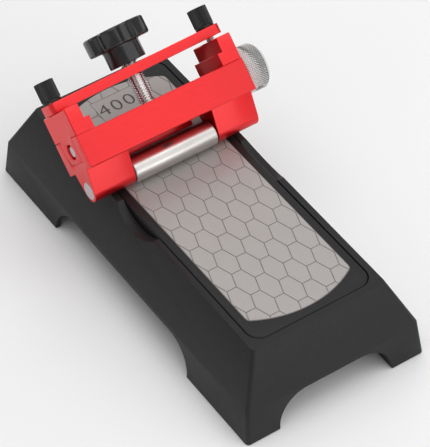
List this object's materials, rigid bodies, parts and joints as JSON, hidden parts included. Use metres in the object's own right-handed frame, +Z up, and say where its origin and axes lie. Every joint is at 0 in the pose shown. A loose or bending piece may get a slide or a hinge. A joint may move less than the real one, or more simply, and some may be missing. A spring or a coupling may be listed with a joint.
{
  "type": "roller honing guide with sharpening stone and stand",
  "caption": "Red roller honing guide with sliding side jaws and a screw-down bridge, leaning on a double-sided diamond stone held in a moulded bench stand.",
  "frame": {"origin": "bench level under the middle of the stand", "axes": "+X along the stone towards the end the guide faces, +Y across the stone towards the guide's knurled knob, +Z up"},
  "size_m": [0.2066, 0.1036, 0.1009],
  "materials": {
    "stand_plastic": "satin moulded charcoal plastic",
    "core_plastic": "satin moulded black plastic",
    "diamond_plate": "nickel-bonded diamond grit",
    "red_anodised": "satin red anodised",
    "polished_steel": "polished",
    "screw_steel": "bright zinc",
    "knurled_steel": "diamond knurled, nickel plated",
    "dark_steel": "black oxide",
    "brass": "turned",
    "black_knob": "moulded black",
    "foot_rubber": "matt rubber"
  },
  "bodies": {
    "stand": {"stand_shell": "stand_plastic", "foot_pad_far_left": "foot_rubber", "foot_pad_far_right": "foot_rubber", "foot_pad_near_left": "foot_rubber", "foot_pad_near_right": "foot_rubber"},
    "stone": {"stone_core": "core_plastic", "diamond_sheet_coarse": "diamond_plate", "diamond_sheet_fine": "diamond_plate"},
    "axle": {"roller_axle": "polished_steel"},
    "roller": {"roller": "polished_steel"},
    "frame": {"guide_frame": "red_anodised", "roller_bush_left": "polished_steel", "roller_bush_right": "polished_steel", "centre_block": "brass", "block_screw_rear": "dark_steel", "block_screw_front": "dark_steel"},
    "lead_screw": {"lead_screw": "screw_steel", "knurled_knob": "knurled_steel", "knob_set_screw": "dark_steel", "screw_clip_left": "dark_steel", "screw_clip_right": "dark_steel"},
    "jaw_left": {"jaw_left": "red_anodised"},
    "jaw_right": {"jaw_right": "red_anodised"},
    "washer_left": {"thumb_washer_left": "dark_steel"},
    "washer_right": {"thumb_washer_right": "dark_steel"},
    "thumb_left": {"thumb_stud_left": "screw_steel", "thumb_head_left": "black_knob"},
    "thumb_right": {"thumb_stud_right": "screw_steel", "thumb_head_right": "black_knob"},
    "bridge": {"bridge_bar": "red_anodised"},
    "tip": {"clamp_tip": "brass"},
    "clamp": {"clamp_screw": "screw_steel", "star_knob": "black_knob"}
  },
  "joints": [
    {"name": "stone_lift", "type": "slide", "parent": "stand", "child": "stone", "axis": [0, 0, 1], "range_m": [0, 0.03]},
    {"name": "guide_travel", "type": "slide", "parent": "stone", "child": "axle", "axis": [1, 0, 0], "range_m": [-0.03, 0.085]},
    {"name": "roller_spin", "type": "hinge", "parent": "axle", "child": "roller", "pos_m": [-0.0252, -0.0008, 0.0488], "axis": [0, 1, 0], "range_deg": [-290, 815]},
    {"name": "guide_tilt", "type": "hinge", "parent": "axle", "child": "frame", "pos_m": [-0.0252, -0.0008, 0.0488], "axis": [0, 1, 0], "range_deg": [0, 93]},
    {"name": "lead_screw_turn", "type": "hinge", "parent": "frame", "child": "lead_screw", "pos_m": [-0.03838, -0.0008, 0.06255], "axis": [0, 1, 0], "range_deg": [0, 5760]},
    {"name": "jaw_left_slide", "type": "slide", "parent": "frame", "child": "jaw_left", "axis": [0, 1, 0], "range_m": [0, 0.02]},
    {"name": "jaw_right_slide", "type": "slide", "parent": "frame", "child": "jaw_right", "axis": [0, -1, 0], "range_m": [0, 0.02]},
    {"name": "bridge_lift", "type": "slide", "parent": "frame", "child": "bridge", "axis": [-0.7431, 0, 0.6691], "range_m": [0, 0.003]},
    {"name": "washer_left_lift", "type": "slide", "parent": "jaw_left", "child": "washer_left", "axis": [-0.7431, 0, 0.6691], "range_m": [0, 0.003]},
    {"name": "washer_right_lift", "type": "slide", "parent": "jaw_right", "child": "washer_right", "axis": [-0.7431, 0, 0.6691], "range_m": [0, 0.003]},
    {"name": "thumb_left_turn", "type": "hinge", "parent": "washer_left", "child": "thumb_left", "pos_m": [-0.05891, -0.042, 0.07861], "axis": [-0.7431, 0, 0.6691], "range_deg": [0, 1543]},
    {"name": "thumb_right_turn", "type": "hinge", "parent": "washer_right", "child": "thumb_right", "pos_m": [-0.05891, 0.0404, 0.07861], "axis": [-0.7431, 0, 0.6691], "range_deg": [0, 1543]},
    {"name": "tip_travel", "type": "slide", "parent": "bridge", "child": "tip", "axis": [-0.743, -0.0175, 0.669], "range_m": [0, 0.012]},
    {"name": "clamp_screw_turn", "type": "hinge", "parent": "tip", "child": "clamp", "pos_m": [-0.05408, -0.0008, 0.07426], "axis": [-0.743, -0.0175, 0.669], "range_deg": [0, 3456]}
  ],
  "couplings": [
    {"joint": "roller_spin", "follows": "guide_travel", "rad_per_m": 166.67},
    {"joint": "jaw_left_slide", "follows": "lead_screw_turn", "m_per_rad": 0.00019894},
    {"joint": "jaw_right_slide", "follows": "lead_screw_turn", "m_per_rad": 0.00019894},
    {"joint": "washer_left_lift", "follows": "bridge_lift", "ratio": 1},
    {"joint": "washer_right_lift", "follows": "bridge_lift", "ratio": 1},
    {"joint": "thumb_left_turn", "follows": "bridge_lift", "rad_per_m": 8976},
    {"joint": "thumb_right_turn", "follows": "bridge_lift", "rad_per_m": 8976},
    {"joint": "tip_travel", "follows": "clamp_screw_turn", "m_per_rad": 0.00019894}
  ]
}
